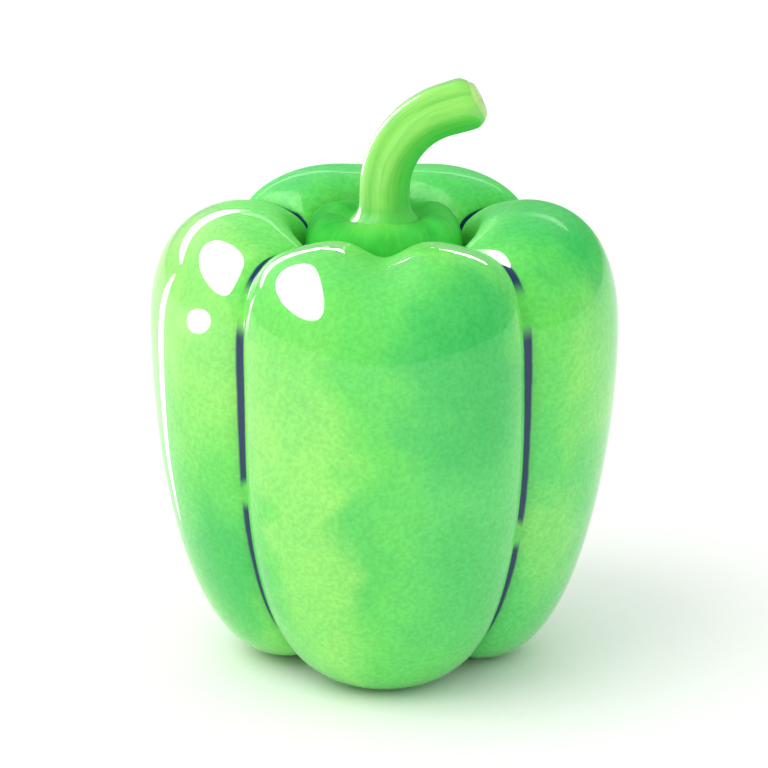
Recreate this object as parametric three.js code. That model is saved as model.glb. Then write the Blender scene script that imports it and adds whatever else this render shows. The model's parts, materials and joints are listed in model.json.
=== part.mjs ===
// A green bell pepper that stands on the feet of its four lobes: the fruit, the calyx on the floor of its
// stem hollow, and the stem. Millimetres, +Z up. The front lobe faces -Y, and the origin is on the resting
// plane, under the middle of the fruit.
import * as THREE from "three";

// Fruit, measured along the crown of a lobe.
const bellyRadius = 43.2;
const crestHeight = 85.8;
const hollowDepth = 11.8; // from the crest down to the floor of the stem hollow
const bellyShare = 0.755; // of the crest's height
const crestShare = 0.61; // of the belly's radius
const footShare = 0.44; // of the belly's radius
const footSink = 0.4; // how far a foot would reach under the resting plane, if that didn't flatten it
const blossomDepth = 8; // hollow in the middle of the underside

// Fruit, measured along the furrow between two lobes.
const lobeCount = 4;
const furrowDepth = 8.2;
const furrowCrestDrop = 5;
const furrowFootRise = 5;
const furrowFootShare = 0.86; // of a foot's radius
const furrowSway = 0.03; // radians that a furrow wanders sideways on its way down
const furrowGather = 0.1; // radians that the mesh's columns crowd towards a furrow, to keep it crisp

// Handles of a meridian's curves, as shares of the span that each curve crosses.
const underHandles = [0.45, 0.55];
const tuckHandle = 0.93;
const flankHandle = 0.78;
const shoulderHandle = 0.63;
const crestHandle = 0.62;
const lipHandle = 0.85;
const wallHandle = 0.8;

// Each lobe differs a little. The first is the front lobe, and the others follow towards +X. A sharpness
// below 1 makes a lobe a broad bulge and its furrows narrow creases.
const lobes = [
  { reach: 0, lift: 0.7, notch: 4, sharpness: 0.54 },
  { reach: 0, lift: 0.5, notch: 0, sharpness: 0.56 },
  { reach: -0.4, lift: 2.6, notch: 1.8, sharpness: 0.44 },
  { reach: 0, lift: 0.3, notch: 0, sharpness: 0.58 },
];
const backSpread = 0.2; // radians that the back lobe's furrows stand wider apart than the front lobe's
const notchWidth = 0.24; // radians from the middle of a notch to where it has mostly faded

// Calyx, a cushion with blunt sepals that dips in the middle, where the stem stands.
const calyxRadius = 15.5;
const calyxHeight = 9.3; // in the dip
const calyxRoom = 0.8; // floor left free around the calyx
const calyxSwell = 1.5; // rise of the cushion above its dip
const calyxSwellShare = 0.64; // of the calyx's radius, where the cushion is highest
const calyxDipRoom = 0.4; // flat floor of the dip that the stem's foot leaves free
const calyxBrowHandle = 0.6;
const calyxTaper = 0.6;
const calyxUndercut = 1.6;
const sepalCount = 6;
const sepalDepth = 0.7;

// Stem, which rises from the calyx and bends towards +X.
const stemRadius = 4.5;
const stemFlare = 1.3; // extra radius where the stem meets the calyx
const stemSwell = 0.4; // extra radius at the cut end
const stemFlareHeight = 6;
const stemRise = 5.7; // straight stretch above the calyx
const bendRadius = 15.4;
const bendAngle = THREE.MathUtils.degToRad(74);
const stemReach = 7; // straight stretch past the bend
const stemSlant = 0.16; // of the cut end, as a slope
const stemEndRounding = 3.8;
const stemRibs = 5;
const stemRibHeight = 0.22;

const clearance = 0.3; // between two pieces that touch

const bellyHeight = crestHeight * bellyShare;
const crestRadius = bellyRadius * crestShare;
const footRadius = bellyRadius * footShare;
const seatHeight = crestHeight - hollowDepth;
const seatRadius = calyxRadius + calyxRoom;
const calyxBottom = seatHeight + clearance;
const stemFoot = calyxBottom + calyxHeight + clearance;
const lobeTurn = (2 * Math.PI) / lobeCount;

const { clamp, lerp, smoothstep } = THREE.MathUtils;
const point = (x, y) => new THREE.Vector2(x, y);

// Points along a run of cubic curves. Each curve is [two handles, end, steps] and starts at the last end.
function trace(start, curves) {
  const points = [start];
  for (const [leave, arrive, end, steps] of curves) {
    const curve = new THREE.CubicBezierCurve(points.at(-1), leave, arrive, end);
    for (let i = 1; i <= steps; i++) points.push(curve.getPoint(i / steps));
  }
  return points;
}

// A straight run, as one of the curves of a trace.
function straight(start, end, steps) {
  return [start.clone().lerp(end, 1 / 3), start.clone().lerp(end, 2 / 3), end, steps];
}

// From the blossom end, under the foot, up the flank, over the shoulder and down to the calyx's seat.
function meridian(belly, crest, foot) {
  const blossom = point(0, blossomDepth);
  const seat = point(seatRadius, seatHeight);
  const [hollowHandle, footHandle] = underHandles;
  return trace(blossom, [
    [point(foot.x * hollowHandle, blossom.y), point(foot.x * footHandle, foot.y), foot, 8],
    [point(belly.x * tuckHandle, foot.y), point(belly.x, belly.y * flankHandle), belly, 15],
    [
      point(belly.x, lerp(belly.y, crest.y, shoulderHandle)),
      point(lerp(crest.x, belly.x, crestHandle), crest.y),
      crest,
      10,
    ],
    [
      point(lerp(crest.x, seat.x, lipHandle), crest.y),
      point(seat.x, lerp(seat.y, crest.y, wallHandle)),
      seat,
      9,
    ],
    straight(seat, point(0, seat.y), 3),
  ]);
}

// Turns a profile about +Z. A profile starts and ends on the axis.
function turned(profile, segments) {
  return new THREE.LatheGeometry(profile, segments).rotateX(Math.PI / 2);
}

// Moves each vertex of a turned profile to where place(column, ring) puts it, as a turn, radius and height.
function reshape(geometry, rings, segments, place) {
  const position = geometry.attributes.position;
  for (let i = 0; i < position.count; i++) {
    const column = (2 * Math.PI * (Math.floor(i / rings) % segments)) / segments;
    const [turn, radius, height] = place(column, i % rings);
    position.setXYZ(i, radius * Math.sin(turn), -radius * Math.cos(turn), height);
  }
  return geometry;
}

function fruitGeometry() {
  const segments = 96;
  const crown = meridian(
    point(bellyRadius, bellyHeight),
    point(crestRadius, crestHeight),
    point(footRadius, -footSink),
  );
  const furrow = meridian(
    point(bellyRadius - furrowDepth, bellyHeight),
    point(crestRadius, crestHeight - furrowCrestDrop),
    point(footRadius * furrowFootShare, furrowFootRise),
  );
  const place = (column, ring) => {
    const turn = column + furrowGather * Math.sin(column * lobeCount);
    const nearest = Math.round(turn / lobeTurn);
    const fromCrown = turn - nearest * lobeTurn;
    const lobe = lobes[nearest % lobeCount];
    const fullness = Math.abs(Math.cos((fromCrown * lobeCount) / 2)) ** lobe.sharpness; // 0 in a furrow
    const p = furrow[ring].clone().lerp(crown[ring], fullness);
    const outward = clamp((p.x - seatRadius) / (bellyRadius - seatRadius), 0, 1);
    const base = p.x > crestRadius ? bellyHeight : seatHeight;
    const upward = smoothstep(p.y, base, crestHeight);
    const notch = lobe.notch * Math.exp(-((fromCrown / notchWidth) ** 2));
    const radius = p.x + lobe.reach * fullness * outward;
    const height = Math.max(p.y + (lobe.lift * fullness - notch) * upward, 0);
    const spread = (backSpread * (1 - Math.cos(turn))) / 2;
    const sway = furrowSway * Math.sin((2 * Math.PI * height) / crestHeight) * outward;
    return [turn + (spread + sway) * Math.sin(turn * 2), radius, height];
  };
  return reshape(turned(crown, segments), crown.length, segments, place);
}

const fruit = new THREE.Mesh(
  fruitGeometry(),
  new THREE.MeshStandardMaterial({ color: 0x62d562, roughness: 0.3, metalness: 0 }),
);
fruit.name = "fruit";

function calyxGeometry() {
  const segments = 60;
  const edge = point(calyxRadius - calyxUndercut, 0);
  const rim = point(calyxRadius, calyxUndercut);
  const brow = point(calyxRadius - calyxTaper, calyxHeight / 2);
  const top = point(calyxRadius * calyxSwellShare, calyxHeight + calyxSwell);
  const dip = point(stemRadius + stemFlare + calyxDipRoom, calyxHeight);
  const between = (top.x + dip.x) / 2;
  const profile = trace(point(0, 0), [
    straight(point(0, 0), edge, 2),
    [point(rim.x, edge.y), point(rim.x, edge.y), rim, 3],
    straight(rim, brow, 2),
    [
      point(brow.x, lerp(brow.y, top.y, calyxBrowHandle)),
      point(lerp(top.x, brow.x, calyxBrowHandle), top.y),
      top,
      6,
    ],
    [point(between, top.y), point(between, dip.y), dip, 4],
    straight(dip, point(0, dip.y), 1),
  ]);
  const place = (turn, ring) => {
    const { x: radius, y: height } = profile[ring];
    const gap = 1 - Math.abs(Math.cos((turn * sepalCount) / 2)); // 1 between two sepals
    return [turn, radius - sepalDepth * gap * smoothstep(radius, top.x, brow.x), height];
  };
  return reshape(turned(profile, segments), profile.length, segments, place);
}

const calyx = new THREE.Mesh(
  calyxGeometry(),
  new THREE.MeshStandardMaterial({ color: 0x4ad054, roughness: 0.5, metalness: 0 }),
);
calyx.name = "calyx";
calyx.position.z = calyxBottom;

// The line that the middle of the stem follows: up, round the bend, and on towards the cut end.
function stemPath() {
  const bendStart = new THREE.Vector3(0, 0, stemRise);
  const bendAt = (angle) => {
    const across = bendRadius * (1 - Math.cos(angle));
    return bendStart.clone().add(new THREE.Vector3(across, 0, bendRadius * Math.sin(angle)));
  };
  const steps = 12;
  const corners = [new THREE.Vector3(0, 0, 0)];
  for (let i = 0; i <= steps; i++) corners.push(bendAt((bendAngle * i) / steps));
  const onward = new THREE.Vector3(Math.sin(bendAngle), 0, Math.cos(bendAngle));
  corners.push(corners.at(-1).clone().addScaledVector(onward, stemReach));
  const path = new THREE.CurvePath();
  for (let i = 1; i < corners.length; i++) path.add(new THREE.LineCurve3(corners[i - 1], corners[i]));
  return path;
}

// Half a section of the stem while it's still straight, with its length along +Z.
function stemProfile(length) {
  const foot = point(stemRadius + stemFlare, 0);
  const waist = point(stemRadius, stemFlareHeight);
  const tip = point(stemRadius + stemSwell, length - stemEndRounding);
  const face = point(tip.x - stemEndRounding, length);
  return trace(point(0, 0), [
    straight(point(0, 0), foot, 1),
    [point(stemRadius, stemFlareHeight / 4), point(stemRadius, stemFlareHeight / 2), waist, 5],
    straight(waist, tip, 14),
    [point(tip.x, length), point(tip.x, length), face, 4],
    straight(face, point(0, length), 1),
  ]);
}

function stemGeometry() {
  const segments = 20;
  const path = stemPath();
  const length = path.getLength();
  const profile = stemProfile(length);
  const place = (turn, ring) => {
    const { x: radius, y: height } = profile[ring];
    const rib = stemRibHeight * Math.cos(stemRibs * turn) * Math.min(radius / stemRadius, 1);
    return [turn, radius + rib, height];
  };
  const geometry = reshape(turned(profile, segments), profile.length, segments, place);
  const position = geometry.attributes.position;
  const across = new THREE.Vector3(0, 1, 0);
  for (let i = 0; i < position.count; i++) {
    const u = clamp(position.getZ(i) / length, 0, 1);
    const onward = path.getTangentAt(u);
    const side = new THREE.Vector3().crossVectors(across, onward);
    const slant = stemSlant * position.getX(i) * smoothstep(u * length, length - stemReach, length);
    const bent = path.getPointAt(u).addScaledVector(side, position.getX(i));
    bent.addScaledVector(across, position.getY(i)).addScaledVector(onward, slant);
    position.setXYZ(i, bent.x, bent.y, bent.z);
  }
  return geometry;
}

const stem = new THREE.Mesh(
  stemGeometry(),
  new THREE.MeshStandardMaterial({ color: 0x7bdc5f, roughness: 0.55, metalness: 0 }),
);
stem.name = "stem";
stem.position.z = stemFoot;

const bellPepper = new THREE.Group();
bellPepper.add(fruit, calyx, stem);

export default bellPepper;
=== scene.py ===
import json
import math

import bmesh
import bpy
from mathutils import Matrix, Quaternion, Vector, noise

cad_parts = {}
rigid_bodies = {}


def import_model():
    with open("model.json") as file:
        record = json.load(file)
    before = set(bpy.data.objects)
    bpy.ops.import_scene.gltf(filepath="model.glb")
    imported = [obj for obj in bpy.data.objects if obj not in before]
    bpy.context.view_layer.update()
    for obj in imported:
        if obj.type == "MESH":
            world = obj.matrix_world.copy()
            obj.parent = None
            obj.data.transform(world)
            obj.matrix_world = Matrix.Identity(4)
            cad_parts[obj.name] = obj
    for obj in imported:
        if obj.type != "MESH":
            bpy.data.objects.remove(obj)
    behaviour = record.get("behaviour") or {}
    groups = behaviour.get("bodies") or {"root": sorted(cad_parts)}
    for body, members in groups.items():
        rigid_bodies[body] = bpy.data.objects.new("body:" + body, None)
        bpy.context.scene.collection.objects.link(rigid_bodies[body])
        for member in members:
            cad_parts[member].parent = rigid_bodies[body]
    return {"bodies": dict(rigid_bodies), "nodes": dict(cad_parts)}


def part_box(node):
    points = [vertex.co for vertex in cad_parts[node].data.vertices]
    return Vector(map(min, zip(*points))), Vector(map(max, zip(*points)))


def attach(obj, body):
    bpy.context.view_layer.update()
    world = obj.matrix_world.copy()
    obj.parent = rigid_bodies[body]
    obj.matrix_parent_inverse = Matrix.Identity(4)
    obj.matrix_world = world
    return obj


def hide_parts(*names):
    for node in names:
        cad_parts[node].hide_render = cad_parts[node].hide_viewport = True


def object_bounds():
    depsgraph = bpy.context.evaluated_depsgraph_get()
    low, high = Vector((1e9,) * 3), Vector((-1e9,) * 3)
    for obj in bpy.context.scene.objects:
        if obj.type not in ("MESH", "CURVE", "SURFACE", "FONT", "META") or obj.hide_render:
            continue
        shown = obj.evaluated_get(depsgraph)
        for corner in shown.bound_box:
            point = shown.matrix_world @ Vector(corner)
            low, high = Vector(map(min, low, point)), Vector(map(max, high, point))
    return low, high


# A green bell pepper on a white studio floor. Metres, +Z up, and the front lobe faces -Y.
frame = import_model()
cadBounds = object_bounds()
bodyName = next(iter(frame["bodies"]))
scene = bpy.context.scene


# A colour given in screen values, as the linear values that shaders want.
def colour(red, green, blue):
    linear = []
    for value in (red, green, blue):
        share = value / 255
        linear.append(share / 12.92 if share <= 0.04045 else ((share + 0.055) / 1.055) ** 2.4)
    return (*linear, 1.0)


def smoothstep(value, start, end):
    share = min(max((value - start) / (end - start), 0.0), 1.0)
    return share * share * (3 - 2 * share)


# A direction from its azimuth (0 is -Y, and it grows towards +X) and elevation, in degrees.
def direction(azimuth, elevation):
    turn, rise = math.radians(azimuth), math.radians(elevation)
    return Vector((math.sin(turn) * math.cos(rise), -math.cos(turn) * math.cos(rise), math.sin(rise)))


def placeAt(thing, position, target, roll=0.0):
    thing.location = position
    facing = (target - position).to_track_quat("-Z", "Y")
    thing.rotation_euler = (facing @ Quaternion((0, 0, 1), math.radians(roll))).to_euler()


cameraSettings = {
    "elevation": 17.2,
    "distance": 0.8,
    "lens": 203,
    "sensor": 36,
    "aimHeight": 0.0521,
}


def makeCamera(settings):
    data = bpy.data.cameras.new("camera")
    data.lens = settings["lens"]
    data.sensor_width = settings["sensor"]
    camera = bpy.data.objects.new("camera", data)
    scene.collection.objects.link(camera)
    target = Vector((0, 0, settings["aimHeight"]))
    placeAt(camera, target + direction(0, settings["elevation"]) * settings["distance"], target)
    scene.camera = camera


makeCamera(cameraSettings)
print("camera placed")


def addNode(tree, kind, values=None, **settings):
    node = tree.nodes.new(kind)
    for name, value in settings.items():
        setattr(node, name, value)
    for socket, value in (values or {}).items():
        if isinstance(value, bpy.types.NodeSocket):
            tree.links.new(value, node.inputs[socket])
        else:
            node.inputs[socket].default_value = value
    return node


# A material with uniform values on its shader's sockets.
def newMaterial(name, values):
    material = bpy.data.materials.new(name)
    material.use_nodes = True
    tree = material.node_tree
    shader = tree.nodes["Principled BSDF"]
    for socket, value in values.items():
        shader.inputs[socket].default_value = value
    return material, tree, shader


# Two colours mixed by a factor, each of the three a value or a socket.
def mixed(tree, factor, first, second, blend="MIX"):
    node = addNode(tree, "ShaderNodeMix", data_type="RGBA", blend_type=blend)
    for socket, value in ((0, factor), (6, first), (7, second)):
        if isinstance(value, bpy.types.NodeSocket):
            tree.links.new(value, node.inputs[socket])
        else:
            node.inputs[socket].default_value = value
    return node.outputs[2]


def maths(tree, operation, *values, clamp=False):
    node = addNode(tree, "ShaderNodeMath", dict(enumerate(values)), operation=operation, use_clamp=clamp)
    return node.outputs[0]


def vectorOf(tree, operation, *values, output=0):
    return addNode(tree, "ShaderNodeVectorMath", dict(enumerate(values)), operation=operation).outputs[output]


def awayFrom(tree, position, at):
    return vectorOf(tree, "DISTANCE", position, at, output="Value")


# How far a position lies from the Z axis.
def radiusOf(tree, position):
    return vectorOf(tree, "LENGTH", vectorOf(tree, "MULTIPLY", position, (1.0, 1.0, 0.0)), output="Value")


def bumpOf(tree, height, strength, distance):
    return addNode(tree, "ShaderNodeBump", {
        "Height": height, "Strength": strength, "Distance": distance}).outputs[0]


# A value between start and end, mapped to toStart and toEnd and held there beyond them.
def ranged(tree, value, start, end, toStart=0.0, toEnd=1.0, smooth=True):
    kind = "SMOOTHSTEP" if smooth else "LINEAR"
    return addNode(tree, "ShaderNodeMapRange", {
        "Value": value, "From Min": start, "From Max": end, "To Min": toStart, "To Max": toEnd,
    }, interpolation_type=kind).outputs[0]


noiseSpan = (0.3, 0.7)  # nearly all of a noise texture's values lie between these


def noiseOf(tree, vector, scale, detail=2.0, roughness=0.5):
    return addNode(tree, "ShaderNodeTexNoise", {
        "Vector": vector, "Scale": scale, "Detail": detail, "Roughness": roughness}).outputs["Fac"]


floorSettings = {
    "radius": 5.0,
    "segments": 64,
    "shader": {"Roughness": 0.8, "Specular IOR Level": 0.2},
    "colour": (0.96, 0.96, 0.96, 1.0),
    "grain": 0.01,  # how much darker its darkest specks are
    "grainScale": 400.0,
}


def makeFloor(settings):
    bm = bmesh.new()
    bmesh.ops.create_circle(bm, cap_ends=True, segments=settings["segments"], radius=settings["radius"])
    mesh = bpy.data.meshes.new("floor")
    bm.to_mesh(mesh)
    bm.free()
    floor = bpy.data.objects.new("floor", mesh)
    scene.collection.objects.link(floor)
    material, tree, shader = newMaterial("studioFloor", settings["shader"])
    position = addNode(tree, "ShaderNodeTexCoord").outputs["Object"]
    specks = noiseOf(tree, position, settings["grainScale"])
    grain = ranged(tree, specks, *noiseSpan, 1 - settings["grain"], 1.0)
    tree.links.new(mixed(tree, 1.0, settings["colour"], grain, "MULTIPLY"), shader.inputs["Base Color"])
    mesh.materials.append(material)


makeFloor(floorSettings)
print("floor made")

mergeDistance = 1e-6
joinAngle = math.radians(60)  # triangles bent or skewed by less become quads


# A CAD node's loose triangles as one welded mesh, mostly of quads.
def weldedCopy(node):
    bm = bmesh.new()
    bm.from_mesh(frame["nodes"][node].data)
    bmesh.ops.remove_doubles(bm, verts=bm.verts, dist=mergeDistance)
    bmesh.ops.join_triangles(
        bm, faces=bm.faces, angle_face_threshold=joinAngle, angle_shape_threshold=joinAngle)
    quads = sum(len(face.verts) == 4 for face in bm.faces)
    print(node, quads, "quads and", len(bm.faces) - quads, "triangles")
    return bm


def addPiece(name, bm, material):
    mesh = bpy.data.meshes.new(name)
    bm.to_mesh(mesh)
    bm.free()
    piece = bpy.data.objects.new(name, mesh)
    scene.collection.objects.link(piece)
    mesh.materials.append(material)
    return piece


# Subdivides a piece and keeps the result as its mesh.
def subdivide(piece, levels):
    modifier = piece.modifiers.new("smooth", "SUBSURF")
    modifier.levels = modifier.render_levels = levels
    piece.data = bpy.data.meshes.new_from_object(piece.evaluated_get(bpy.context.evaluated_depsgraph_get()))
    piece.modifiers.clear()
    piece.data.name = piece.name
    piece.data.polygons.foreach_set("use_smooth", [True] * len(piece.data.polygons))


# Noise that changes quickly round an axis and slowly along it, so that it makes lengthwise streaks.
def streakNoise(turn, along, settings):
    turns, length = settings["grainTurns"], settings["grainLength"]
    return noise.noise(Vector((math.cos(turn) * turns, math.sin(turn) * turns, along / length)))


# Moves each vertex along its normal by what amount(position, index) gives.
def emboss(piece, amount):
    mesh = piece.data
    normals = [vertex.normal.copy() for vertex in mesh.vertices]
    for vertex, normal in zip(mesh.vertices, normals):
        vertex.co += normal * amount(vertex.co, vertex.index)
    mesh.update()


fruitSettings = {
    "levels": 2,
    "lobes": 4,
    "creaseAngle": 0.55,  # radians between two faces across a full crease
    "creaseReach": 0.35,  # radians to each side of where a furrow should be
    "creaseInner": 0.006,  # no crease is marked nearer to the axis
    "creaseLean": 0.5,  # edges that run more round the fruit than this don't count
    "creaseDepth": 0.0005,
    "swell": 0.0004,
    "swellSize": 0.036,
    "wrinkles": 22,  # round the stem hollow
    "wrinkleDepth": 0.00005,
    "wrinkleReach": (0.017, 0.021),
    "wrinkleHeight": (0.62, 0.7),  # shares of the whole height between which they set in
    "wrinkleStray": 2.5,
    "wrinkleStraySize": 0.008,
}
skinSettings = {
    "shader": {"Specular IOR Level": 0.05, "Coat Roughness": 0.03, "Coat IOR": 1.5},
    "roughness": (0.42, 0.58),
    "wander": 0.022,  # how far the washes' edges stray
    "wanderScale": 95.0,
    "stretch": 0.6,  # below 1 the washes run lengthwise
    "broadScale": 34.0,
    "fineScale": 85.0,
    "paintedLightLean": 9.0,  # painted light and shade: how fast the lighter yellow of the -X side turns to the bluer shade towards +X
    "mottle": 1.5,  # how much the broad noise sways that
    "rampEnds": (0.05, 0.95),
    "core": 0.35,  # a patch is even within this share of its reach
    "blotch": {"span": (0.35, 0.7), "strength": 0.35},
    "driedEdge": {"width": 0.02, "strength": 0.10},
    "grain": {"scale": 1100.0, "tones": (0.90, 1.06), "bump": 0.25, "bumpHeight": 0.0002},
    "creaseShade": {"span": (0.36, 0.58), "strength": 0.97, "sway": 0.2},  # the painted shade in the furrows
    "lemon": colour(152, 232, 108),
    "leaf": colour(102, 218, 88),
    "sea": colour(88, 210, 102),
    "emerald": colour(54, 190, 88),
    # painted shade: the dark blue of the line down the furrows
    "crease": colour(10, 40, 98),
    # Patches of colour; the lemon ones on the lobes' left sides and the emerald ones on their right sides are
    # partly painted light and shade.
    "patches": [
        {"at": (0.017, -0.039, 0.065), "reach": 0.018, "strength": 0.95, "tone": "emerald"},
        {"at": (0.020, -0.036, 0.080), "reach": 0.012, "strength": 0.4, "tone": "emerald"},
        {"at": (0.016, -0.034, 0.022), "reach": 0.013, "strength": 0.5, "tone": "emerald"},
        {"at": (-0.004, -0.038, 0.032), "reach": 0.011, "strength": 0.35, "tone": "emerald"},
        {"at": (-0.018, -0.038, 0.052), "reach": 0.015, "strength": 0.9, "tone": "lemon"},
        {"at": (-0.014, -0.037, 0.030), "reach": 0.012, "strength": 0.7, "tone": "lemon"},
        {"at": (0.031, -0.006, 0.083), "reach": 0.018, "strength": 0.95, "tone": "emerald"},
        {"at": (0.036, -0.015, 0.060), "reach": 0.012, "strength": 0.5, "tone": "lemon"},
        {"at": (0.032, -0.018, 0.028), "reach": 0.012, "strength": 0.55, "tone": "lemon"},
        {"at": (-0.036, -0.016, 0.020), "reach": 0.026, "strength": 1.0, "tone": "leaf"},
        {"at": (-0.033, -0.022, 0.018), "reach": 0.017, "strength": 0.8, "tone": "emerald"},
        {"at": (0.012, 0.026, 0.084), "reach": 0.018, "strength": 0.7, "tone": "emerald"},
        {"at": (-0.016, 0.026, 0.084), "reach": 0.020, "strength": 0.9, "tone": "emerald"},
        {"at": (0.010, 0.040, 0.046), "reach": 0.018, "strength": 0.6, "tone": "lemon"},
        {"at": (-0.016, 0.038, 0.024), "reach": 0.015, "strength": 0.6, "tone": "emerald"},
        {"at": (-0.042, 0.012, 0.058), "reach": 0.016, "strength": 0.6, "tone": "leaf"},
    ],
    # Where the painted shade in a furrow fades out.
    "gapSpan": (0.5, 1.3),
    "gaps": [
        {"at": (-0.024, -0.024, 0.0735), "reach": 0.0045},
        {"at": (0.024, -0.024, 0.073), "reach": 0.0045},
        {"at": (-0.0242, -0.0225, 0.0384), "reach": 0.0028},
        {"at": (0.0235, -0.0215, 0.0303), "reach": 0.0028},
    ],
    # The skin is duller round the stem hollow and on the right lobe's crown.
    "dullCoat": 0.06,
    "dull": [
        {"at": (0.0, 0.008, 0.085), "reach": (0.027, 0.034)},
        {"at": (0.031, -0.006, 0.087), "reach": (0.010, 0.017)},
    ],
}


# Marks how deep in a furrow between two lobes each vertex lies, from 0 to 1. A lobe's own notch isn't one.
def markCreases(bm, settings):
    layer = bm.verts.layers.float.new("crease")
    lobeTurn = 2 * math.pi / settings["lobes"]
    for vertex in bm.verts:
        turn = math.atan2(vertex.co.x, -vertex.co.y)
        if abs(turn - round(turn / lobeTurn) * lobeTurn) < lobeTurn / 2 - settings["creaseReach"]:
            continue
        deepest = 0.0
        for edge in vertex.link_edges:
            if len(edge.link_faces) != 2:
                continue
            along = edge.verts[1].co - edge.verts[0].co
            middle = (edge.verts[1].co + edge.verts[0].co) / 2
            around = Vector((-middle.y, middle.x, 0))
            if around.length < settings["creaseInner"]:
                continue
            if abs(along.normalized().dot(around.normalized())) > settings["creaseLean"]:
                continue
            deepest = max(deepest, -edge.calc_face_angle_signed(0.0))
        vertex[layer] = min(deepest / settings["creaseAngle"], 1.0)


def makeFruit(settings, material):
    bm = weldedCopy("fruit")
    markCreases(bm, settings)
    fruit = addPiece("fruitSkin", bm, material)
    subdivide(fruit, settings["levels"])
    crease = [item.value for item in fruit.data.attributes["crease"].data]
    inner, outer = settings["wrinkleReach"]
    low, high = (cadBounds[1].z * share for share in settings["wrinkleHeight"])

    def amount(at, index):
        swell = noise.noise(at / settings["swellSize"]) * settings["swell"]
        near = smoothstep(math.hypot(at.x, at.y), outer, inner) * smoothstep(at.z, low, high)
        stray = settings["wrinkleStray"] * noise.noise(at / settings["wrinkleStraySize"])
        wave = math.cos(settings["wrinkles"] * math.atan2(at.y, at.x) + stray)
        return swell + wave * near * settings["wrinkleDepth"] - crease[index] ** 2 * settings["creaseDepth"]

    emboss(fruit, amount)
    for vertex in fruit.data.vertices:
        vertex.co.z = max(vertex.co.z, 0.0)
    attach(fruit, bodyName)
    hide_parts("fruit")


# The washes of colour, with painted light and shade: yellower and lighter on the -X side, bluer towards +X.
# Patches lie over them, partly painted light and shade too: lemon on the lobes' left sides, emerald on their
# right sides.
def washAndPaintedLightTone(tree, settings, upright, position, broad, fine):
    across = addNode(tree, "ShaderNodeSeparateXYZ", {0: position}).outputs[0]
    # Painted light and shade: the tone leans from lit yellow on the -X side to shaded blue towards +X.
    paintedLightLean = maths(tree, "MULTIPLY_ADD", across, settings["paintedLightLean"], 0.5)
    sway = maths(tree, "MULTIPLY_ADD", broad, settings["mottle"], -settings["mottle"] / 2)
    wash = addNode(tree, "ShaderNodeValToRGB", {0: maths(tree, "ADD", paintedLightLean, sway, clamp=True)})
    ramp = wash.color_ramp
    ramp.interpolation = "EASE"
    for element, place, name in zip(ramp.elements, settings["rampEnds"], ("lemon", "sea")):
        element.position, element.color = place, settings[name]
    ramp.elements.new(0.5).color = settings["leaf"]
    tone = wash.outputs[0]
    # Some patches are painted light and shade: lemon on the lobes' left sides, emerald on their right sides.
    for patch in settings["patches"]:
        x, y, z = patch["at"]
        away = awayFrom(tree, upright, (x, y, z * settings["stretch"]))
        core = patch["reach"] * settings["core"]
        amount = ranged(tree, away, patch["reach"], core, 0.0, patch["strength"])
        tone = mixed(tree, amount, tone, settings[patch["tone"]])
    blotch = ranged(tree, fine, *settings["blotch"]["span"], 0.0, settings["blotch"]["strength"])
    return mixed(tree, blotch, tone, settings["sea"])


# How strong the painted shade in the furrows is, from the mesh's crease attribute.
def creaseShadeLine(tree, settings, position, fine):
    crease = addNode(tree, "ShaderNodeAttribute", attribute_name="crease").outputs["Fac"]
    creaseShade = settings["creaseShade"]
    swayed = maths(tree, "MULTIPLY_ADD", fine, creaseShade["sway"], crease)
    line = ranged(tree, swayed, *creaseShade["span"], 0.0, creaseShade["strength"])
    for gap in settings["gaps"]:
        away = awayFrom(tree, position, gap["at"])
        start, end = (gap["reach"] * share for share in settings["gapSpan"])
        line = maths(tree, "MULTIPLY", line, ranged(tree, away, start, end))
    return line


def skinMaterial(settings):
    material, tree, shader = newMaterial("pepperSkin", settings["shader"])
    position = addNode(tree, "ShaderNodeTexCoord").outputs["Object"]
    wobble = addNode(tree, "ShaderNodeTexNoise", {
        "Vector": position, "Scale": settings["wanderScale"], "Detail": 4.0})
    shifted = vectorOf(tree, "SUBTRACT", wobble.outputs["Color"], (0.5, 0.5, 0.5))
    wandering = vectorOf(tree, "MULTIPLY_ADD", shifted, (settings["wander"],) * 3, position)
    upright = vectorOf(tree, "MULTIPLY", wandering, (1.0, 1.0, settings["stretch"]))
    broad = noiseOf(tree, upright, settings["broadScale"], 1.0)
    fine = noiseOf(tree, upright, settings["fineScale"])
    tone = washAndPaintedLightTone(tree, settings, upright, position, broad, fine)
    # A dried edge runs round each wash, and a grain lies over it all.
    fromEdge = maths(tree, "ABSOLUTE", maths(tree, "SUBTRACT", broad, 0.5))
    dried, grain = settings["driedEdge"], settings["grain"]
    edge = ranged(tree, fromEdge, 0.0, dried["width"], dried["strength"], 0.0)
    tone = mixed(tree, edge, tone, settings["emerald"])
    specks = noiseOf(tree, position, grain["scale"], 3.0, 0.6)
    tone = mixed(tree, 1.0, tone, ranged(tree, specks, *noiseSpan, *grain["tones"]), "MULTIPLY")
    # Painted shade: a dark blue line down the furrows between the lobes.
    tone = mixed(tree, creaseShadeLine(tree, settings, position, fine), tone, settings["crease"])
    tree.links.new(tone, shader.inputs["Base Color"])
    tree.links.new(ranged(tree, fine, *noiseSpan, *settings["roughness"]), shader.inputs["Roughness"])
    gloss = 1.0
    for dull in settings["dull"]:
        away = awayFrom(tree, position, dull["at"])
        gloss = maths(tree, "MULTIPLY", gloss, ranged(tree, away, *dull["reach"], settings["dullCoat"], 1.0))
    tree.links.new(gloss, shader.inputs["Coat Weight"])
    tree.links.new(bumpOf(tree, specks, grain["bump"], grain["bumpHeight"]), shader.inputs["Normal"])
    return material


makeFruit(fruitSettings, skinMaterial(skinSettings))
print("fruit made")

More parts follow.
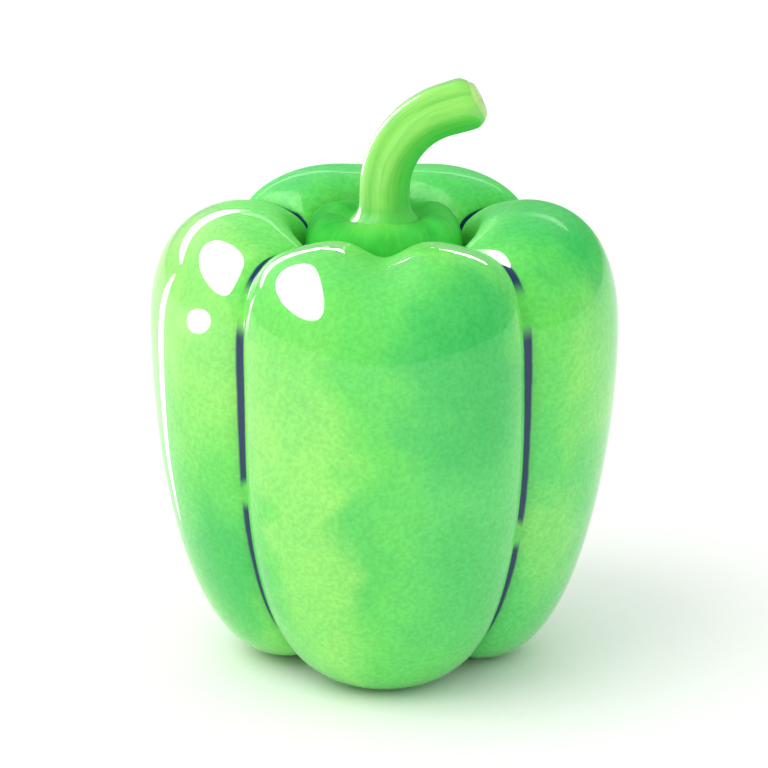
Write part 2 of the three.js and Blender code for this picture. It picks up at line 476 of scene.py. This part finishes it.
calyxSettings = {
    "levels": 2,
    "sepals": 6,
    "ridge": 0.0004,
    "ridgeSharpness": 5,
    "ridgeReach": (0.4, 0.65),  # shares of the calyx's radius between which the ridges rise
    "grain": 0.00016,
    "grainTurns": 9,
    "grainLength": 0.01,
}
calyxLook = {
    "shader": {"Roughness": 0.6, "Specular IOR Level": 0.2, "Coat Weight": 0.12, "Coat Roughness": 0.3},
    "spread": 0.03,  # draws the veins out from the middle
    "veinScale": 420.0,
    "veinSpan": (0.5, 0.75),
    "veinStrength": 0.5,
    "broadScale": 120.0,
    "broadSpan": (0.35, 0.65),
    "bump": 0.5,
    "bumpHeight": 0.0003,
    "deep": colour(42, 182, 54),
    "fresh": colour(64, 204, 68),
    "vein": colour(92, 216, 82),
    "lime": colour(118, 220, 84),
    "glow": {"at": (-0.0012, -0.0075, 0.0845), "reach": 0.008, "strength": 0.9},
}


def makeCalyx(settings, material):
    bm = weldedCopy("calyx")
    calyx = addPiece("calyxCap", bm, material)
    subdivide(calyx, settings["levels"])
    inner, outer = (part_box("calyx")[1].y * share for share in settings["ridgeReach"])

    def amount(at, index):
        radius = math.hypot(at.x, at.y)
        turn = math.atan2(at.x, -at.y)
        spoke = abs(math.cos(turn * settings["sepals"] / 2)) ** settings["ridgeSharpness"]
        ridge = spoke * settings["ridge"] * smoothstep(radius, inner, outer)
        return ridge + streakNoise(turn, radius, settings) * settings["grain"]

    emboss(calyx, amount)
    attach(calyx, bodyName)
    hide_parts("calyx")


def calyxMaterial(settings):
    material, tree, shader = newMaterial("calyxFlesh", settings["shader"])
    position = addNode(tree, "ShaderNodeTexCoord").outputs["Object"]
    outward = vectorOf(tree, "NORMALIZE", vectorOf(tree, "MULTIPLY", position, (1.0, 1.0, 0.0)))
    spread = vectorOf(tree, "MULTIPLY_ADD", outward, (settings["spread"],) * 3, position)
    veins = noiseOf(tree, spread, settings["veinScale"], 3.0, 0.55)
    broad = noiseOf(tree, position, settings["broadScale"])
    tone = mixed(tree, ranged(tree, broad, *settings["broadSpan"]), settings["deep"], settings["fresh"])
    vein = ranged(tree, veins, *settings["veinSpan"], 0.0, settings["veinStrength"])
    tone = mixed(tree, vein, tone, settings["vein"])
    # It is lighter just in front of the stem.
    glow = settings["glow"]
    near = ranged(tree, awayFrom(tree, position, glow["at"]), glow["reach"], 0.0, 0.0, glow["strength"])
    tone = mixed(tree, near, tone, settings["lime"])
    tree.links.new(tone, shader.inputs["Base Color"])
    tree.links.new(bumpOf(tree, veins, settings["bump"], settings["bumpHeight"]), shader.inputs["Normal"])
    return material


makeCalyx(calyxSettings, calyxMaterial(calyxLook))
print("calyx made")

stemSettings = {
    "levels": 2,
    "rise": 0.0057,  # the straight length before the bend
    "bendRadius": 0.0154,
    "bendAngle": math.radians(74),
    "reach": 0.007,  # the straight length after the bend
    "slant": 0.16,  # how much the cut end leans from square
    "ribs": 5,
    "ribPhase": 0.4,
    "rib": 0.00022,
    "ribFadeIn": 0.002,
    "ribFadeOut": 0.003,
    "grain": 0.0001,
    "grainTurns": 7,
    "grainLength": 0.012,
    "faceSpan": (0.0009, 0.0002),  # how far before its end the stem's side turns into its cut face
    "hollow": 0.0005,
    "hollowSpan": (0.0036, 0.0012),
    "rounding": 0.0008,  # how far the cut end's rim is worn back
    "roundingAlong": (0.003, 0.0005),
    "roundingAcross": (0.0024, 0.0042),
    "footHeight": 0.0026,
    "footFlare": 0.0013,
    "footSink": 0.0006,
}
stemLook = {
    "shader": {"Roughness": 0.55, "Specular IOR Level": 0.25, "Coat Weight": 0.7, "Coat Roughness": 0.08},
    "streakStretch": 0.09,
    "streakScale": 900.0,
    "streakSpan": (0.45, 0.75),
    "streakStrength": 0.45,
    "broadScale": 130.0,
    "broadSway": (0.8, -0.3),
    "paintedLightLean": 220.0,  # how fast the painted light on the bend's outer side turns to painted shade on its inner side
    "cutSpan": (0.0009, 0.0004),
    "pithSpan": (0.0012, 0.0024),
    "fleckScale": 1500.0,
    "fleckSpan": (0.4, 0.7),
    "fleckStrength": 0.4,
    "footSpan": (0.0045, 0.0003),
    "footStrength": 0.85,
    "bump": 0.5,
    "bumpHeight": 0.0003,
    # The lime and leaf tones are the lighter outer and darker inner side of the bend, painted light and
    # shade.
    "lime": colour(142, 222, 94),
    "leaf": colour(80, 206, 78),
    "deep": colour(54, 184, 68),
    "cut": colour(176, 222, 128),
    "pith": colour(150, 204, 104),
    "foot": colour(76, 206, 72),
}


def stemLength(settings):
    return settings["rise"] + settings["bendRadius"] * settings["bendAngle"] + settings["reach"]


# Where a point would lie if the stem were straight, with its length along Z from 0.
def straightened(at, settings, base):
    rise, radius, angle = settings["rise"], settings["bendRadius"], settings["bendAngle"]
    up = at.z - base
    if up <= rise:
        return Vector((at.x, at.y, up))
    dx, dz = at.x - radius, up - rise
    turn = math.atan2(dz, -dx)
    if 0 <= turn <= angle:
        return Vector((radius - math.hypot(dx, dz), at.y, rise + radius * turn))
    onward = Vector((math.sin(angle), 0, math.cos(angle)))
    side = Vector((math.cos(angle), 0, -math.sin(angle)))
    bend = Vector((radius - radius * math.cos(angle), 0, rise + radius * math.sin(angle)))
    past = Vector((at.x, 0, up)) - bend
    return Vector((past.dot(side), at.y, rise + radius * angle + past.dot(onward)))


def makeStem(settings, material):
    bm = weldedCopy("stem")
    stem = addPiece("stemStalk", bm, material)
    subdivide(stem, settings["levels"])
    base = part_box("stem")[0].z
    end = stemLength(settings)
    layer = stem.data.attributes.new("straight", "FLOAT_VECTOR", "POINT")
    straight = [straightened(vertex.co, settings, base) for vertex in stem.data.vertices]
    for item, at in zip(layer.data, straight):
        item.vector = at

    # Ribs and streaks on the side, a dip in the cut face and a worn rim round it.
    def amount(at, index):
        x, y, along = straight[index]
        turn, radius = math.atan2(y, x), math.hypot(x, y)
        left = end - (along - settings["slant"] * x)
        face = smoothstep(left, *settings["faceSpan"])
        rib = math.cos(settings["ribs"] * turn + settings["ribPhase"]) * settings["rib"] * (1 - face)
        rib *= smoothstep(along, 0.0, settings["ribFadeIn"])
        rib *= smoothstep(end - along, 0.0, settings["ribFadeOut"])
        streak = streakNoise(turn, along, settings) * settings["grain"] * (1 - face)
        dip = face * settings["hollow"] * smoothstep(radius, *settings["hollowSpan"])
        corner = smoothstep(left, *settings["roundingAlong"])
        corner *= smoothstep(radius, *settings["roundingAcross"])
        return rib + streak - dip - corner * settings["rounding"]

    emboss(stem, amount)
    # The foot widens and sinks a little way into the calyx, as it grows out of it.
    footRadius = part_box("stem")[1].y
    for vertex, at in zip(stem.data.vertices, straight):
        foot = smoothstep(at.z, settings["footHeight"], 0.0) ** 2
        outward = Vector((at.x, at.y, 0)) / footRadius
        vertex.co += outward * settings["footFlare"] * foot - Vector((0, 0, settings["footSink"] * foot))
    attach(stem, bodyName)
    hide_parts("stem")


def stemMaterial(settings, shape):
    material, tree, shader = newMaterial("stemRind", settings["shader"])
    straight = addNode(tree, "ShaderNodeAttribute", attribute_name="straight").outputs["Vector"]
    stretched = vectorOf(tree, "MULTIPLY", straight, (1.0, 1.0, settings["streakStretch"]))
    streaks = noiseOf(tree, stretched, settings["streakScale"], 3.0, 0.6)
    broad = noiseOf(tree, straight, settings["broadScale"])
    x, y, along = addNode(tree, "ShaderNodeSeparateXYZ", {0: straight}).outputs
    # Painted light and shade: the outer side of the bend is lighter than the inner side.
    sway = maths(tree, "MULTIPLY_ADD", broad, *settings["broadSway"])
    paintedLightLean = maths(tree, "MULTIPLY_ADD", x, settings["paintedLightLean"], sway, clamp=True)
    tone = mixed(tree, paintedLightLean, settings["lime"], settings["leaf"])
    streak = ranged(tree, streaks, *settings["streakSpan"], 0.0, settings["streakStrength"])
    tone = mixed(tree, streak, tone, settings["deep"])
    # The cut face is paler, with a pith in its middle.
    slanted = maths(tree, "MULTIPLY_ADD", x, -shape["slant"], along)
    face = ranged(tree, slanted, *(stemLength(shape) - before for before in settings["cutSpan"]))
    pith = ranged(tree, radiusOf(tree, straight), *settings["pithSpan"])
    core = mixed(tree, pith, settings["pith"], settings["cut"])
    flecks = noiseOf(tree, straight, settings["fleckScale"])
    fleck = ranged(tree, flecks, *settings["fleckSpan"], 0.0, settings["fleckStrength"])
    core = mixed(tree, fleck, core, settings["pith"])
    tone = mixed(tree, face, tone, core)
    foot = ranged(tree, along, *settings["footSpan"], 0.0, settings["footStrength"])
    tone = mixed(tree, foot, tone, settings["foot"])
    tree.links.new(tone, shader.inputs["Base Color"])
    tree.links.new(bumpOf(tree, streaks, settings["bump"], settings["bumpHeight"]), shader.inputs["Normal"])
    return material


makeStem(stemSettings, stemMaterial(stemLook, stemSettings))
print("stem made")

scarSettings = {
    "levels": 2,
    "height": 0.0078,  # of the flesh above the floor, in the middle of the underside
    "radius": 0.0038,
    "thickness": 0.0012,
    "sunk": 0.4,  # share of the thickness that lies in the flesh
    "points": 5,
    "pointSegments": 4,
    "starDepth": 0.14,
    "dimple": [(0.0006, 0.0), (0.0008, 0.0002), (0.0008, 0.0003)],  # each step inwards and up
    "grain": 0.0002,
    "grainSize": 0.0011,
}
scarLook = {
    "shader": {"Roughness": 0.85, "Specular IOR Level": 0.2},
    "fleckScale": 1600.0,
    "fleckSpan": (0.35, 0.65),
    "middleSpan": (0.0016, 0.0006),
    "middleStrength": 0.7,
    "bump": 0.6,
    "bumpHeight": 0.0003,
    "cork": colour(150, 158, 92),
    "dark": colour(96, 110, 58),
}


# The blossom scar, a small corky star in the middle of the underside.
def makeScar(settings, material):
    bm = bmesh.new()
    segments = settings["points"] * settings["pointSegments"]
    rim = bmesh.ops.create_circle(bm, cap_ends=True, segments=segments, radius=settings["radius"])["verts"]
    for vertex in rim:
        turn = math.atan2(vertex.co.y, vertex.co.x)
        vertex.co *= 1 - settings["starDepth"] * (0.5 - 0.5 * math.cos(settings["points"] * turn))
    raised = bmesh.ops.extrude_face_region(bm, geom=bm.faces[:])["geom"]
    down = [item for item in raised if isinstance(item, bmesh.types.BMVert)]
    bmesh.ops.translate(bm, verts=down, vec=(0, 0, -settings["thickness"]))
    face = next(item for item in raised if isinstance(item, bmesh.types.BMFace))
    for thickness, lift in settings["dimple"]:
        bmesh.ops.inset_region(bm, faces=[face], thickness=thickness)
        bmesh.ops.translate(bm, verts=face.verts, vec=(0, 0, lift))
    bmesh.ops.recalc_face_normals(bm, faces=bm.faces)
    top = settings["height"] + settings["thickness"] * settings["sunk"]
    bmesh.ops.translate(bm, verts=bm.verts, vec=(0, 0, top))
    scar = addPiece("blossomScar", bm, material)
    subdivide(scar, settings["levels"])
    emboss(scar, lambda at, index: noise.noise(at / settings["grainSize"]) * settings["grain"])
    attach(scar, bodyName)


def scarMaterial(settings):
    material, tree, shader = newMaterial("scarCork", settings["shader"])
    position = addNode(tree, "ShaderNodeTexCoord").outputs["Object"]
    flecks = noiseOf(tree, position, settings["fleckScale"], 3.0)
    tone = mixed(tree, ranged(tree, flecks, *settings["fleckSpan"]), settings["dark"], settings["cork"])
    radius = radiusOf(tree, position)
    middle = ranged(tree, radius, *settings["middleSpan"], 0.0, settings["middleStrength"])
    tone = mixed(tree, middle, tone, settings["dark"])
    tree.links.new(tone, shader.inputs["Base Color"])
    tree.links.new(bumpOf(tree, flecks, settings["bump"], settings["bumpHeight"]), shader.inputs["Normal"])
    return material


makeScar(scarSettings, scarMaterial(scarLook))
print("blossom scar made")

# Soft light from all round, a large panel for the shading, and panels that only make highlights.
lightSettings = {
    "world": {"colour": (1.0, 1.0, 1.0), "strength": 1.0, "mirrored": 0.4},
    "target": Vector((0, 0, 0.055)),
    "panels": {
        "key": {"azimuth": -60, "elevation": 52, "distance": 3.0, "size": (2.6, 2.6), "power": 33.0,
                "colour": (1.0, 0.98, 0.92), "shades": True, "shines": False},
        # The large round highlights on the left and front lobes.
        "spot": {"azimuth": -79, "elevation": 45, "distance": 0.65, "size": (0.9, 0.52), "power": 28.0,
                 "roll": -27, "target": Vector((0.054, 0.038, 0.053)), "on": ["fruitSkin"]},
        # The small round highlight below the left one, from a tiny panel close to the skin.
        "glint": {"azimuth": -81, "elevation": -4, "distance": 0.016, "size": (0.013, 0.0078), "roll": 12,
                  "power": 0.0008, "spread": 30, "target": Vector((-0.0331, -0.021, 0.0705)),
                  "on": ["fruitSkin"]},
        # The arcs along the lobes' shoulders, and the line down the left lobe's side.
        "rimLeft": {"azimuth": -147, "elevation": 25, "distance": 0.53, "size": (0.55, 0.075), "power": 1.7,
                    "roll": -12, "target": Vector((0.011, -0.010, 0.049)), "on": ["fruitSkin"]},
        "rimSide": {"azimuth": -118, "elevation": -14, "distance": 0.06, "size": (0.009, 0.085), "roll": -15,
                    "power": 0.006, "spread": 80, "target": Vector((-0.0265, -0.0008, 0.0597)),
                    "on": ["fruitSkin"]},
        "rimRight": {"azimuth": 164, "elevation": 32, "distance": 0.8, "size": (0.5, 0.07), "power": 1.6,
                     "on": ["fruitSkin"]},
        # The line along the stem's left side.
        "edge": {"azimuth": -112, "elevation": 14, "distance": 0.7, "size": (0.2, 1.3), "power": 34.0,
                 "on": ["stemStalk"]},
    },
}


def makeLights(settings):
    world = bpy.data.worlds.new("studio")
    world.use_nodes = True
    tree = world.node_tree
    background = tree.nodes["Background"]
    background.inputs["Color"].default_value = (*settings["world"]["colour"], 1.0)
    # The room is darker in reflections, which keeps the greens deep at the edges.
    glossy = addNode(tree, "ShaderNodeLightPath").outputs["Is Glossy Ray"]
    full, mirrored = settings["world"]["strength"], settings["world"]["mirrored"]
    strength = ranged(tree, glossy, 0.0, 1.0, full, mirrored, smooth=False)
    tree.links.new(strength, background.inputs["Strength"])
    scene.world = world
    for name, panel in settings["panels"].items():
        data = bpy.data.lights.new(name, "AREA")
        data.shape = "ELLIPSE"
        data.size, data.size_y = panel["size"]
        data.energy = panel["power"]
        data.color = panel.get("colour", (1.0, 1.0, 1.0))
        data.spread = math.radians(panel.get("spread", 180))
        light = bpy.data.objects.new(name, data)
        light.visible_camera = False
        light.visible_diffuse = panel.get("shades", False)
        light.visible_glossy = panel.get("shines", True)
        scene.collection.objects.link(light)
        target = panel.get("target", settings["target"])
        away = direction(panel["azimuth"], panel["elevation"]) * panel["distance"]
        placeAt(light, target + away, target, panel.get("roll", 0.0))
        if "on" in panel:
            lit = bpy.data.collections.new(name + "Receivers")
            for piece in panel["on"]:
                lit.objects.link(bpy.data.objects[piece])
            light.light_linking.receiver_collection = lit


makeLights(lightSettings)
print("lights placed")

scene.view_settings.view_transform = "Standard"
